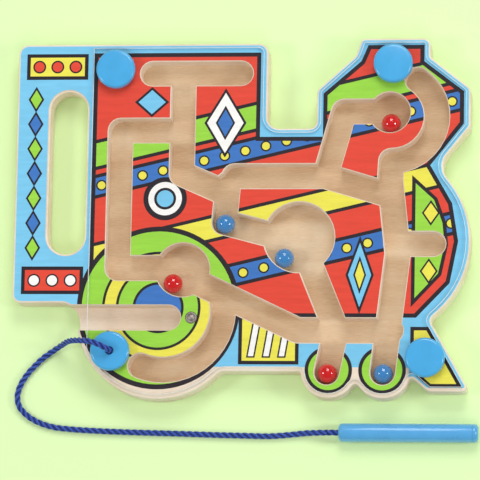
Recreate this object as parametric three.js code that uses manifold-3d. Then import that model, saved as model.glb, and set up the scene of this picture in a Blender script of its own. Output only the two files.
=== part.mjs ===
// Magnetic maze board: a wooden ball maze cut to a steam-engine outline, with its clear cover, its caps,
// painted steel balls in routed tracks, and a magnet wand on a cord.
// Millimetres, +Z up. The origin is the middle of the board's back face, which lies on the table at z = 0.
import * as THREE from "three";
import { mergeVertices } from "three/addons/utils/BufferGeometryUtils.js";
import Module from "manifold-3d";

// Fits
const fitGap = 0.3; // between pieces that seat on or in each other
const chordError = 0.1; // how far a facet may cut inside its arc

// Balls, and the tracks that are routed to suit them
const ballDiameter = 12.7;
const ballSideRoom = 3.3;
const ballHeadRoom = 0.8;
const ballRestGap = 0.6; // from a ball at rest to the pocket wall that stops it
const ballRest = { funnel: -86, hub: -130, boiler: -128 }; // degrees, from a pocket's middle to its ball
const trackWidth = ballDiameter + ballSideRoom;
const trackDepth = ballDiameter + ballHeadRoom;
const trackLip = 0.6; // chamfer round the mouth of every track

// Board
const boardThickness = 18;
const boardEdgeRound = 1.2;
const handleWidth = 24.8;
const handleLength = 108;
const handleMiddle = [-114.7, 29.3];

// Clear cover
const coverThickness = 2;
const coverInset = 2.7; // from the board's edge to the cover's edge
const coverHandleMargin = 3.2; // from the handle slot to the cover's straight side
const coverLeft = handleMiddle[0] + handleWidth / 2 + coverHandleMargin;

// Caps, each pushed through the cover into a blind hole
const capDiameter = 25.5;
const capHeight = 4.6;
const capEdgeRound = 1.6;
const shankDiameter = 8;
const shankGrip = 7; // how deep a shank goes into the board
const capFromCoverSide = 15.3; // from the cover's straight side to the cap beside it
const cordCapFromCoverSide = 15.8;
const capSpots = {
  cap_upper_left: [coverLeft + capFromCoverSide, 97.2],
  cap_upper_right: [97.8, 100.2],
  cap_lower_right: [120.5, -92.1],
};
const cordCapSpot = [coverLeft + cordCapFromCoverSide, -88.5];

// Wand, with its bore open at the tip end
const wandDiameter = 12;
const wandLength = 90;
const wandWall = 1.9;
const wandTailWall = 6;
const wandEndRound = 2.6;
const wandTail = [64.3, -138.8]; // where the middle of its tail lies on the table
const magnetLength = 22;
const plugHeadLength = 3.4;
const plugSpigotLength = 5;
const wandKnotLength = 7.5;

// Garage that the wand slides into, open at the board's left edge
const garageSideRoom = 4;
const garageHeadRoom = 1.5;
const garageEnd = [-46.3, -66];

// Keeper disc that holds the wand's magnet in the garage
const keeperDiameter = 7.4;
const keeperThickness = 3;
const keeperWall = 3.2; // wood between the garage's end and the disc

// Cord and its stop knots
const cordDiameter = 4;
const cordRoom = 0.5; // all round the cord in the holes that it runs through
const cordSides = 8;
const cordStepDiameters = 2;
const cordBendLead = 5; // from the last bend to the wand's tail
const boardKnotWidth = 9;
const boardKnotHeight = 6.6;
const boardKnotSunk = 1.2; // from the knot to the back of the board
const cordRoute = [
  [...cordCapSpot, boardKnotSunk + boardKnotHeight + fitGap],
  [...cordCapSpot, 17],
  [...cordCapSpot, 26],
  [-84.3, -88.0, 30],
  [-87.0, -86.7, 32.9],
  [-90.6, -85.1, 34],
  [-94.6, -83.8, 33.4],
  [-98.3, -83.0, 31],
  [-101.8, -82.4, 28],
  [-105.4, -81.9, 24.6],
  [-109.2, -81.6, 20.4],
  [-112.4, -81.7, 15.6],
  [-115.6, -82.4, 10.4],
  [-119.4, -83.9, 5.8],
  [-124.4, -86.7, 2.9],
  [-130.0, -90.6, 2],
  [-135.6, -96.0, 2],
  [-140.6, -101.8, 2],
  [-144.6, -108.6, 2],
  [-146.4, -115.4, 2],
  [-145.2, -122.0, 2],
  [-140.6, -127.6, 2],
  [-133.4, -132.2, 2],
  [-123.4, -135.6, 2],
  [-110, -137.2, 2],
  [-92, -138.2, 2],
  [-68, -139, 2],
  [-42, -139.6, 2],
  [-16, -140.3, 2],
  [4, -140.7, 2],
  [20, -140.9, 2],
  [33, -139.9, 2.1],
  [43, -138.9, 2.8],
  [50, -138.8, 4.6],
  [wandTail[0] - cordBendLead - cordDiameter / 2 - fitGap, wandTail[1], wandDiameter / 2],
];

// Round stretches of the board's outline: centre x, y, radius, and where they start and end in degrees
const boilerFront = [86.2, -15.8, 62.6, 38, -48];
const frontWheel = [92.8, -99.8, 18.2, -18, -145];
const middleWheel = [58.2, -99.8, 18.2, -35, -172];
const drivingWheel = [-53.5, -60.1, 58.5, -49, -165];

// The outline's corners before rounding, clockwise from the cab roof: x, y, radius
const outlineCorners = [
  [-149, 114.7, 6.5],
  [16, 114.7, 6.5],
  [16, 58.3, 7.5],
  [48, 58.3, 4.5],
  [48, 83.5, 5.5],
  [73, 106.2, 6],
  [76.9, 117.6, 3.2],
  [121.6, 117.6, 4.5],
  [121.6, 105.2, 3],
  [148, 84.3, 5],
  [148, 59.3, 3.2],
  [127.2, 33.3, 12],
  ...roundStretch(...boilerFront),
  [122.9, -67, 4],
  [149.2, -113.4, 3.2],
  [122.5, -113.4, 5],
  [110.9, -103.2, 2.5],
  ...roundStretch(...frontWheel),
  [75.5, -106.6, 2.8],
  ...roundStretch(...middleWheel),
  [40, -100.8, 1.2],
  [-11.7, -100.8, 8],
  ...roundStretch(...drivingWheel),
  [-107.5, -56.6, 10],
  [-149, -56.6, 5.5],
];

// Round pockets: centre x, y and radius
const hubPocket = [-37.6, -34.7, 17.6];
const funnelPocket = [95.7, 68.8, 13.3];
const boilerPocket = [37.8, -13.3, 23.1];

// Straight tracks, as the middle line that the cutter follows
const stretches = {
  roof: [[-60, 95], [-2, 95]],
  cab: [[-39.5, 95], [-39.5, 28.5], [-11, 16]],
  cabLoop: [[-39.5, 57.2], [-80.3, 57.2], [-80.3, -33.6], [-37.6, -33.6]],
  boilerTop: [[-5, 26.8], [54.3, 26.8], [97, 14]],
  boilerDrop: [[-9, 22], [-11, -3.6], [20, -11.8]],
  funnel: [[54.3, 26.8], [65.9, 69.3], [95.7, 69.3]],
  hubToRail: [[-34, -40], [37.8, -74.1], [98, -74.1]],
  boilerToRail: [[37.8, -13.3], [63, -74.1]],
  middleWheel: [[62.6, -74.1], [57, -101.2]],
  frontWheel: [[97, 36], [96.4, 24], [101.9, -24], [93, -101.2]],
  boilerFront: [[101, -17.7], [124.7, -17.7]],
};

// Curved tracks, as the middle line: centre x, y, radius, start and end in degrees
const rimTrack = [-49.5, -61.5, 38.7, 12, -112];
const funnelTrack = [97, 66, 29.3, 56, -90];

const wasm = await Module();
wasm.setup();

const ballRadius = ballDiameter / 2;
const trackFloor = boardThickness - trackDepth;
const coverBottom = boardThickness + fitGap;
const coverTop = coverBottom + coverThickness;
const capBottom = coverTop + fitGap;
const shankEnd = boardThickness - shankGrip;
const cordHole = cordDiameter / 2 + cordRoom;
const knotRecessDepth = boardKnotSunk + boardKnotHeight + fitGap;
const wandRadius = wandDiameter / 2;
const wandBore = wandRadius - wandWall;
const barrelLength = wandLength - plugHeadLength - fitGap;

const lathe = { cap: 32, knot: 14, wand: 20 };

/** The corners whose rounding makes up one clockwise arc of the outline, none turning by over 70 degrees. */
function roundStretch(x, y, radius, startDegrees, endDegrees) {
  const parts = Math.ceil((startDegrees - endDegrees) / 70);
  const half = THREE.MathUtils.degToRad((startDegrees - endDegrees) / parts / 2);
  const reach = radius / Math.cos(half);
  return Array.from({ length: parts }, (_, i) => {
    const angle = THREE.MathUtils.degToRad(startDegrees) - half * (2 * i + 1);
    return [x + reach * Math.cos(angle), y + reach * Math.sin(angle), radius];
  });
}

/** Points along an arc, in radians, close enough that no facet cuts in by more than chordError. */
function sweep(x, y, radius, start, end) {
  const step = 2 * Math.acos(1 - chordError / radius);
  const count = Math.max(1, Math.ceil(Math.abs(end - start) / step));
  return Array.from({ length: count + 1 }, (_, i) => {
    const angle = start + ((end - start) * i) / count;
    return new THREE.Vector2(x + radius * Math.cos(angle), y + radius * Math.sin(angle));
  });
}

/** The rounded outline of the board, set in from its edge by inset. */
function boardOutline(inset = 0) {
  const count = outlineCorners.length;
  const at = outlineCorners.map(([x, y]) => new THREE.Vector2(x, y));
  const runs = at.map((p, i) => at[(i + 1) % count].clone().sub(p));
  const turns = runs.map((run, i) => {
    const before = runs[(i + count - 1) % count];
    return Math.atan2(before.cross(run), before.dot(run));
  });
  const wanted = turns.map((turn, i) => outlineCorners[i][2] * Math.tan(Math.abs(turn) / 2));
  // Two neighbours that would run into each other share the edge between them.
  const share = runs.map((run, i) => Math.min(1, run.length() / (wanted[i] + wanted[(i + 1) % count])));
  return at.flatMap((corner, i) => {
    const before = (i + count - 1) % count;
    const tangent = wanted[i] * Math.min(share[i], share[before]);
    const radius = tangent / Math.tan(Math.abs(turns[i]) / 2);
    const side = Math.sign(turns[i]); // -1 where the outline bulges, 1 where it turns in
    const into = runs[before].clone().normalize();
    const normal = new THREE.Vector2(-into.y, into.x).multiplyScalar(side);
    const middle = corner.clone().addScaledVector(into, -tangent).addScaledVector(normal, radius);
    const start = Math.atan2(-normal.y, -normal.x);
    return sweep(middle.x, middle.y, radius + side * inset, start, start + turns[i]);
  });
}

/** A straight slot with round ends, between two points. */
function slot([ax, ay], [bx, by], width) {
  const along = Math.atan2(by - ay, bx - ax);
  const quarter = Math.PI / 2;
  return [
    ...sweep(bx, by, width / 2, along - quarter, along + quarter),
    ...sweep(ax, ay, width / 2, along + quarter, along + 3 * quarter),
  ];
}

/** A curved slot with round ends, running clockwise round a centre. */
function curvedSlot([x, y, radius, startDegrees, endDegrees], width) {
  const [start, end] = [startDegrees, endDegrees].map(THREE.MathUtils.degToRad);
  const cap = (angle, from, to) =>
    sweep(x + radius * Math.cos(angle), y + radius * Math.sin(angle), width / 2, from, to).slice(1, -1);
  return [
    ...sweep(x, y, radius + width / 2, start, end),
    ...cap(end, end, end - Math.PI),
    ...sweep(x, y, radius - width / 2, end, start),
    ...cap(start, start + Math.PI, start),
  ];
}

/** A full circle. */
function circle([x, y, radius]) {
  return sweep(x, y, radius, 0, 2 * Math.PI).slice(0, -1);
}

/** A flat outline pulled up from one height to another. */
function prism(outline, bottom, top) {
  const options = { depth: top - bottom, bevelEnabled: false };
  return new THREE.ExtrudeGeometry(new THREE.Shape(outline), options).translate(0, 0, bottom);
}

/** A shape turned about Z, from pairs of radius and height that start and end on the axis. */
function turned(profile, sides) {
  const points = profile.map(([radius, height]) => new THREE.Vector2(radius, height));
  return new THREE.LatheGeometry(points, sides).rotateX(Math.PI / 2);
}

/** Pairs of radius and height round an outer edge, from one angle to another in degrees. */
function edgeRound(radius, height, round, from, to, steps) {
  return Array.from({ length: steps + 1 }, (_, i) => {
    const angle = THREE.MathUtils.degToRad(from + ((to - from) * i) / steps);
    return [radius + round * Math.cos(angle), height + round * Math.sin(angle)];
  });
}

/** A geometry as a solid that can be joined and cut. */
function solid(geometry) {
  const bare = geometry.clone();
  bare.deleteAttribute("normal");
  bare.deleteAttribute("uv");
  const merged = mergeVertices(bare, 1e-4);
  const vertProperties = new Float32Array(merged.attributes.position.array);
  const triVerts = new Uint32Array(merged.index.array);
  return new wasm.Manifold(new wasm.Mesh({ numProp: 3, vertProperties, triVerts }));
}

/** The solids joined into one. */
function joined(solids) {
  return solids.reduce((sum, next) => sum.add(next));
}

/** A solid as a geometry that a mesh can show. */
function geometryOf(body) {
  const { vertProperties, triVerts } = body.getMesh();
  const geometry = new THREE.BufferGeometry();
  geometry.setAttribute("position", new THREE.BufferAttribute(vertProperties, 3));
  geometry.setIndex(new THREE.BufferAttribute(triVerts, 1));
  return geometry;
}

/** A cut from the board's face down to a floor, with the chamfered lip round its mouth. */
function routed(outline, floor) {
  const bevel = { bevelThickness: trackLip, bevelSize: trackLip, bevelSegments: 1 };
  const options = { depth: trackLip, bevelEnabled: true, ...bevel };
  const lip = new THREE.ExtrudeGeometry(new THREE.Shape(outline), options).translate(0, 0, boardThickness);
  return solid(prism(outline, floor, boardThickness + trackLip)).add(solid(lip));
}

/** A hole down through a face, with open air above it. */
function drilled([x, y], radius, bottom, top) {
  return solid(prism(circle([x, y, radius]), bottom, top));
}

/** Everything that is routed or drilled out of the board. */
function boardCuts() {
  const straight = Object.values(stretches).flatMap((route) =>
    route.slice(1).map((end, i) => routed(slot(route[i], end, trackWidth), trackFloor)),
  );
  const curved = [rimTrack, funnelTrack].map((track) => routed(curvedSlot(track, trackWidth), trackFloor));
  const pockets = [hubPocket, funnelPocket, boilerPocket].map((spot) => routed(circle(spot), trackFloor));
  const garageWidth = wandDiameter + garageSideRoom;
  const garageFloor = boardThickness - wandDiameter - garageHeadRoom;
  const garageMouth = [drivingWheel[0] - drivingWheel[2] - garageWidth, garageEnd[1]]; // clear of the edge
  const garage = routed(slot(garageMouth, garageEnd, garageWidth), garageFloor);
  const shankHoles = [...Object.values(capSpots), cordCapSpot].map((spot) =>
    drilled(spot, shankDiameter / 2 + fitGap, shankEnd - fitGap, boardThickness + fitGap),
  );
  const below = -fitGap;
  const cordWay = drilled(cordCapSpot, cordHole, below, boardThickness);
  const knotRecess = drilled(cordCapSpot, boardKnotWidth / 2 + cordRoom, below, knotRecessDepth);
  const keeperBottom = boardThickness - keeperThickness;
  const keeper = drilled(keeperSpot(), keeperDiameter / 2 + fitGap, keeperBottom, boardThickness + fitGap);
  return joined([...straight, ...curved, ...pockets, garage, ...shankHoles, cordWay, knotRecess, keeper]);
}

/** The handle slot's two round ends, and a plate of the slot's own outline with both edges eased. */
function handleCut() {
  const [x, y] = handleMiddle;
  const half = (handleLength - handleWidth) / 2;
  const outline = slot([x, y - half], [x, y + half], handleWidth);
  const flare = { bevelThickness: boardEdgeRound, bevelSize: boardEdgeRound, bevelSegments: 2 };
  const mouth = (z) =>
    new THREE.ExtrudeGeometry(new THREE.Shape(outline), { depth: boardEdgeRound, bevelEnabled: true, ...flare })
      .translate(0, 0, z);
  const through = solid(prism(outline, -boardEdgeRound, boardThickness + boardEdgeRound));
  return joined([through, solid(mouth(boardThickness)), solid(mouth(-boardEdgeRound))]);
}

/** The middle of the keeper disc, in line with the garage. */
function keeperSpot() {
  const garageTip = garageEnd[0] + (wandDiameter + garageSideRoom) / 2;
  return [garageTip + keeperWall + keeperDiameter / 2, garageEnd[1]];
}

/** The wooden board, with eased edges. */
function mazeBoard() {
  const options = {
    depth: boardThickness - 2 * boardEdgeRound,
    bevelThickness: boardEdgeRound,
    bevelSize: boardEdgeRound,
    bevelOffset: -boardEdgeRound,
    bevelSegments: 2,
  };
  const plate = new THREE.ExtrudeGeometry(new THREE.Shape(boardOutline()), options);
  return geometryOf(solid(plate.translate(0, 0, boardEdgeRound)).subtract(boardCuts()).subtract(handleCut()));
}

/** The clear sheet: the board's outline set in, cut straight beside the handle slot, with the shanks' holes. */
function clearCover() {
  const outline = boardOutline(coverInset);
  const xs = outline.map((p) => p.x);
  const ys = outline.map((p) => p.y);
  const right = Math.max(...xs) + coverInset;
  const [low, high] = [Math.min(...ys) - coverInset, Math.max(...ys) + coverInset];
  const corners = [[coverLeft, low], [right, low], [right, high], [coverLeft, high]];
  const kept = corners.map(([x, y]) => new THREE.Vector2(x, y));
  const [bottom, top] = [coverBottom - fitGap, coverTop + fitGap];
  const sheet = solid(prism(outline, coverBottom, coverTop)).intersect(solid(prism(kept, bottom, top)));
  const holes = [...Object.values(capSpots), cordCapSpot].map((spot) =>
    drilled(spot, shankDiameter / 2 + fitGap, bottom, top),
  );
  return geometryOf(sheet.subtract(joined(holes)));
}

/** A cap with its shank, at z = 0 under its head. */
function cap() {
  const head = edgeRound(capDiameter / 2 - capEdgeRound, capHeight - capEdgeRound, capEdgeRound, 0, 90, 4);
  const shank = shankDiameter / 2;
  const foot = shankEnd - capBottom;
  const underside = [[0, foot], [shank, foot], [shank, 0], [capDiameter / 2, 0]];
  return turned([...underside, ...head, [0, capHeight]], lathe.cap);
}

/** The cap that the cord runs through. */
function cordCap() {
  const bore = prism(circle([0, 0, cordHole]), shankEnd - capBottom - fitGap, capHeight + fitGap);
  return geometryOf(solid(cap()).subtract(solid(bore)));
}

/** A stop knot as a rounded lump from z = 0 up, on a stub of cord that may stand below it. */
function knot(radius, height, stub = 0) {
  const lump = Array.from({ length: 9 }, (_, i) => {
    const angle = (Math.PI * i) / 8;
    return [radius * Math.sin(angle) ** 0.7, (height * (1 - Math.cos(angle))) / 2];
  });
  const thread = cordDiameter / 2;
  const rounded = lump.slice(1, -1).map(([r, z]) => [Math.max(r, stub ? thread : 0), z]);
  const lead = stub ? [[0, -stub], [thread, -stub]] : [[0, 0]];
  return turned([...lead, ...rounded, [0, height]], lathe.knot);
}

/** The wand's tube, from its tail at z = 0, with a hole for the cord and a bore from the tip end. */
function wandBarrel() {
  const tail = edgeRound(wandRadius - wandEndRound, wandEndRound, wandEndRound, -90, 0, 5);
  const profile = [
    [cordHole, 0],
    ...tail,
    [wandRadius, barrelLength],
    [wandBore, barrelLength],
    [wandBore, wandTailWall],
    [cordHole, wandTailWall],
    [cordHole, 0],
  ];
  return turned(profile, lathe.wand);
}

/** The plug that closes the wand's tip: a spigot in the bore and a rounded head as wide as the wand. */
function wandTipPlug() {
  const spigot = wandBore - fitGap;
  const end = plugSpigotLength + fitGap + plugHeadLength;
  const head = edgeRound(wandRadius - wandEndRound, end - wandEndRound, wandEndRound, 0, 90, 5);
  const shoulder = plugSpigotLength + fitGap;
  const inside = [[0, 0], [spigot, 0], [spigot, shoulder], [wandRadius, shoulder]];
  return turned([...inside, ...head, [0, end]], lathe.wand);
}

/** The cord along its route, as one tube. */
function cordTube() {
  const route = new THREE.CatmullRomCurve3(cordRoute.map((p) => new THREE.Vector3(...p)), false, "centripetal");
  const section = Array.from({ length: cordSides }, (_, i) => {
    const angle = (2 * Math.PI * (i + 0.5)) / cordSides;
    return new THREE.Vector2(Math.cos(angle), Math.sin(angle)).multiplyScalar(cordDiameter / 2);
  });
  const steps = Math.round(route.getLength() / (cordStepDiameters * cordDiameter));
  return new THREE.ExtrudeGeometry(new THREE.Shape(section), { steps, extrudePath: route });
}

/** Where a ball stops against the wall of a round pocket, in the direction given in degrees. */
function restIn([x, y, radius], degrees) {
  const angle = THREE.MathUtils.degToRad(degrees);
  const reach = radius - ballRadius - ballRestGap;
  return [x + reach * Math.cos(angle), y + reach * Math.sin(angle)];
}

const ballSpots = {
  ball_red_1: restIn(funnelPocket, ballRest.funnel),
  ball_red_2: restIn(hubPocket, ballRest.hub),
  ball_red_3: stretches.middleWheel.at(-1),
  ball_blue_1: stretches.boilerDrop[1],
  ball_blue_2: restIn(boilerPocket, ballRest.boiler),
  ball_blue_3: stretches.frontWheel.at(-1),
};

const finish = (color, roughness, metalness = 0) =>
  new THREE.MeshStandardMaterial({ color, roughness, metalness });
const wood = finish("#dcc09a", 0.6);
const acrylic = finish("#eef6fa", 0.05);
acrylic.transparent = true;
acrylic.opacity = 0.25;
const bluePlastic = finish("#50a8de", 0.25);
const redPaint = finish("#c9282b", 0.2);
const bluePaint = finish("#3f7bb4", 0.2);
const steel = finish("#a9abae", 0.35, 1);
const magnetPlating = finish("#8d9094", 0.3, 1);
const cordYarn = finish("#24409a", 0.85);

const group = new THREE.Group();

/** Adds one named piece to a parent, at a place in the parent's frame. */
function piece(name, geometry, material, place = [0, 0, 0], parent = group) {
  const mesh = new THREE.Mesh(geometry, material);
  mesh.name = name;
  mesh.position.set(...place);
  parent.add(mesh);
}

piece("maze_board", mazeBoard(), wood);
piece("clear_cover", clearCover(), acrylic);
for (const [name, [x, y]] of Object.entries(capSpots)) {
  piece(name, cap(), bluePlastic, [x, y, capBottom]);
}
piece("cord_cap", cordCap(), bluePlastic, [...cordCapSpot, capBottom]);
piece("board_knot", knot(boardKnotWidth / 2, boardKnotHeight), cordYarn, [...cordCapSpot, boardKnotSunk]);

const discOutline = circle([...keeperSpot(), keeperDiameter / 2]);
piece("keeper_disc", prism(discOutline, boardThickness - keeperThickness, boardThickness), steel);

for (const [name, [x, y]] of Object.entries(ballSpots)) {
  const paint = name.startsWith("ball_red") ? redPaint : bluePaint;
  piece(name, new THREE.SphereGeometry(ballRadius, 16, 10), paint, [x, y, trackFloor + fitGap + ballRadius]);
}

piece("cord", cordTube(), cordYarn);
const bendSpot = [wandTail[0] - cordBendLead, wandTail[1], wandRadius];
piece("cord_bend", new THREE.SphereGeometry(cordDiameter / 2, 12, 8), cordYarn, bendSpot);

// The wand is turned about Z and then laid down with its tip towards +X.
const wand = new THREE.Group();
wand.position.set(...wandTail, wandRadius);
wand.rotation.y = Math.PI / 2;
group.add(wand);
const wandStub = cordBendLead - cordDiameter / 2 - fitGap + wandTailWall + fitGap;
piece("wand_barrel", wandBarrel(), bluePlastic, [0, 0, 0], wand);
const wandKnot = knot(wandBore - fitGap, wandKnotLength, wandStub);
piece("wand_knot", wandKnot, cordYarn, [0, 0, wandTailWall + fitGap], wand);
const plugStart = barrelLength - plugSpigotLength;
piece("wand_tip_plug", wandTipPlug(), bluePlastic, [0, 0, plugStart], wand);
const magnetStart = plugStart - fitGap - magnetLength;
const magnetOutline = circle([0, 0, wandBore - fitGap]);
piece("wand_magnet", prism(magnetOutline, 0, magnetLength), magnetPlating, [0, 0, magnetStart], wand);

export default group;
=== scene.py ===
"""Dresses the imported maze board: printed wood, clear cover, moulded caps, balls, laid cord and wand."""
from __future__ import annotations

import logging
import math
from dataclasses import dataclass, field
from enum import Enum
from itertools import accumulate
from typing import Callable, ClassVar, Iterable, Sequence

import bpy
from mathutils import Matrix, Vector

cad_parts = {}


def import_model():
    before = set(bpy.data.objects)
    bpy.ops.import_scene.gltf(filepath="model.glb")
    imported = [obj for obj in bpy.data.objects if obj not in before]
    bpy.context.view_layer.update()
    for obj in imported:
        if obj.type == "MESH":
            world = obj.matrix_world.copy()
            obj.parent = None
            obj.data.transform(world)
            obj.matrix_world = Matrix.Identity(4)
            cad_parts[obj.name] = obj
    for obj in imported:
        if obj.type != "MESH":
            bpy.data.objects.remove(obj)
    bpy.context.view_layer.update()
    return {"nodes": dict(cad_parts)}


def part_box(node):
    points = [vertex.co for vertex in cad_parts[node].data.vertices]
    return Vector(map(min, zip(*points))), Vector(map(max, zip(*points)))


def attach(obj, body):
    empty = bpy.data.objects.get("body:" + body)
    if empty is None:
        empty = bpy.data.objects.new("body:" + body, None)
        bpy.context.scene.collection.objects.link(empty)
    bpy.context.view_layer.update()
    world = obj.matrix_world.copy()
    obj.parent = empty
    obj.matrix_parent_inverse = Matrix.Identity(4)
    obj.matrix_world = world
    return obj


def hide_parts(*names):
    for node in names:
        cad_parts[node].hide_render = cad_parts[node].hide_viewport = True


log = logging.getLogger("maze_board")

MM = 0.001
TOUCH = 1e-6
NEAR = 1e-5
LEVEL = 0.99

Point = tuple[float, float]
Place = tuple[float, float, float]
Loop = Sequence[Point]
Colour = tuple[float, float, float]
Seen = tuple[int, int, int]
Relief = tuple[Place, float, float, float]
Axes = tuple[Vector, Vector]
Node = bpy.types.Node
Socket = bpy.types.NodeSocket


def linear(red: int, green: int, blue: int) -> Colour:
    """Turns a colour of 0 to 255 as seen on screen into the linear one that shaders take.

    Args:
        red: Red as seen.
        green: Green as seen.
        blue: Blue as seen.

    Returns:
        The linear colour.
    """

    def one(value: int) -> float:
        """Turns one part of the colour."""
        share = value / 255
        return share / 12.92 if share <= 0.04045 else ((share + 0.055) / 1.055) ** 2.4

    return one(red), one(green), one(blue)


class Ink(Enum):
    """The inks of the printed face, as seen on screen."""

    SKY = (124, 202, 238)
    BLACK = (44, 37, 44)
    RED = (231, 74, 54)
    LIME = (158, 219, 70)
    YELLOW = (240, 231, 84)
    ROYAL = (63, 121, 196)
    WHITE = (250, 248, 244)


class Pick(Enum):
    """What a selection holds."""

    FACES = "FACE"
    EDGES = "EDGE"


class Graph:
    """A node tree, with short ways to add and join nodes."""

    def __init__(self, tree: bpy.types.NodeTree) -> None:
        """Takes up a tree."""
        self.tree = tree

    def set(self, socket: Socket, value: object) -> None:
        """Links an input to another socket, or sets its constant.

        Args:
            socket: The input.
            value: A socket or a constant.
        """
        if isinstance(value, Socket):
            self.tree.links.new(value, socket)
        else:
            socket.default_value = value

    def feed(self, node: Node, **values: object) -> Node:
        """Sets a node's inputs, by name with spaces as underscores.

        Args:
            node: The node.
            values: A socket or a constant for each input.

        Returns:
            The node.
        """
        for name, value in values.items():
            self.set(node.inputs[name.replace("_", " ")], value)
        return node

    def add(self, kind: str, **values: object) -> Node:
        """Adds a node and sets its inputs."""
        return self.feed(self.tree.nodes.new("ShaderNode" + kind), **values)

    def math(self, kind: str, a: Socket, b: Socket | float) -> Socket:
        """One sum on two values.

        Args:
            kind: The Math node's operation.
            a: The first value.
            b: The second value.

        Returns:
            The socket that holds the result.
        """
        node = self.add("Math")
        node.operation = kind
        for socket, value in zip(node.inputs, (a, b)):
            self.set(socket, value)
        return node.outputs["Value"]

    def all_of(self, *tests: tuple[str, Socket, float]) -> Socket:
        """1 where every comparison holds, and else 0.

        Args:
            tests: Operation, value and limit of each comparison.

        Returns:
            The socket that holds the result.
        """
        first, *others = (self.math(*test) for test in tests)
        for other in others:
            first = self.math("MULTIPLY", first, other)
        return first

    def coords(self, stretch: Place) -> Socket:
        """Object coordinates, stretched on each axis."""
        source = self.add("TexCoord").outputs["Object"]
        return self.add("Mapping", Vector=source, Scale=stretch).outputs["Vector"]

    def noise(self, where: Socket | Place, detail: float) -> Socket:
        """A noise pattern's value, at some coordinates or at stretched Object coordinates."""
        place = where if isinstance(where, Socket) else self.coords(where)
        return self.add("TexNoise", Vector=place, Scale=1.0, Detail=detail).outputs["Fac"]

    def ramp(self, value: Socket, stops: Iterable[tuple[float, Colour]]) -> Socket:
        """A colour picked along a row of stops.

        Args:
            value: The socket that picks.
            stops: Place and linear colour of each stop.

        Returns:
            The socket that holds the colour.
        """
        node = self.add("ValToRGB", Fac=value)
        row = list(stops)
        points = node.color_ramp.elements
        while len(points) < len(row):
            points.new(0.5)
        for point, (place, colour) in zip(points, row):
            point.position = place
            point.color = (*colour, 1.0)
        return node.outputs["Color"]


class Surface(Graph):
    """A material, with one Principled shader."""

    def __init__(self, name: str) -> None:
        """Makes a material with nothing but its shader and output.

        Args:
            name: The material's name.
        """
        self.material = bpy.data.materials.new(name)
        self.material.use_nodes = True
        super().__init__(self.material.node_tree)
        self.tree.nodes.clear()
        self.shader = self.add("BsdfPrincipled")
        self.output = self.add("OutputMaterial", Surface=self.shader.outputs["BSDF"])

    def put(self, **values: object) -> None:
        """Sets the shader's inputs."""
        self.feed(self.shader, **values)

    def rough(self, value: Socket, low: float, high: float) -> None:
        """Feeds the roughness with a value spread between two limits."""
        spread = self.add("MapRange", Value=value, To_Min=low, To_Max=high)
        self.put(Roughness=spread.outputs["Result"])

    def bump(self, value: Socket, height: float, strength: float) -> None:
        """Feeds the normal with a bump of a height in metres."""
        node = self.add("Bump", Height=value, Distance=height, Strength=strength)
        self.put(Normal=node.outputs["Normal"])


class BareWood(Surface):
    """Sanded wood, grained along the board: warm track floors, paler edges, and a garage floor painted
    paler as painted light, where light reaches along it.
    """

    floor_tones: tuple[Colour, ...] = (linear(201, 164, 125), linear(220, 189, 152), linear(233, 209, 176))
    edge_tones: tuple[Colour, ...] = (linear(226, 205, 181), linear(238, 221, 200), linear(245, 233, 217))
    tone_places: Place = (0.28, 0.5, 0.72)
    figure: Place = (9, 120, 60)
    fibre: Place = (190, 2600, 900)
    fibre_share: float = 0.45
    cloud_and_sheen: Place = (26, 34, 20)
    cloud_share: float = 0.6
    gloss: Point = (0.66, 0.5)
    level: float = 0.9
    floors_below: float = 10 * MM
    # Box of the garage floor, which is painted paler as painted light.
    garage_right: float = -36 * MM
    garage_sides: Point = (-75 * MM, -57 * MM)

    def __init__(self) -> None:
        """Builds the grain from a long coarse figure, short fine fibres and soft blotches, which are partly
        the wood's own tone and partly a painted reflection of the cover's sheen.
        """
        super().__init__("bare_wood")
        figure = self.math("MULTIPLY", self.noise(self.figure, 4.0), 1 - self.fibre_share)
        fibre = self.math("MULTIPLY", self.noise(self.fibre, 2.0), self.fibre_share)
        # Soft pale and dark blotches: partly the wood's own tone, partly a painted reflection of the
        # cover's milky sheen.
        cloud_and_sheen = self.math("SUBTRACT", self.noise(self.cloud_and_sheen, 1.0), 0.5)
        cloud_and_sheen = self.math("MULTIPLY", cloud_and_sheen, self.cloud_share)
        grain = self.math("ADD", self.math("ADD", figure, fibre), cloud_and_sheen)
        normal = self.add("SeparateXYZ", Vector=self.add("NewGeometry").outputs["True Normal"]).outputs
        place = self.add("SeparateXYZ", Vector=self.coords((1, 1, 1))).outputs
        floors = self.all_of(
            ("GREATER_THAN", normal["Z"], self.level),
            ("LESS_THAN", place["Z"], self.floors_below),
        )
        # Painted light: the garage floor takes the paler edge tones instead of the floor tones, standing in
        # for the light that reaches along it.
        garage = self.all_of(
            ("LESS_THAN", place["X"], self.garage_right),
            ("GREATER_THAN", place["Y"], self.garage_sides[0]),
            ("LESS_THAN", place["Y"], self.garage_sides[1]),
        )
        blend = self.add("Mix")
        blend.data_type = "RGBA"
        self.feed(
            blend,
            Factor=self.math("SUBTRACT", floors, garage),
            A=self.ramp(grain, zip(self.tone_places, self.edge_tones)),
            B=self.ramp(grain, zip(self.tone_places, self.floor_tones)),
        )
        self.put(Base_Color=blend.outputs["Result"], Specular_IOR_Level=0.3)
        self.rough(grain, *self.gloss)
        self.bump(grain, height=0.0001, strength=0.4)


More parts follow.
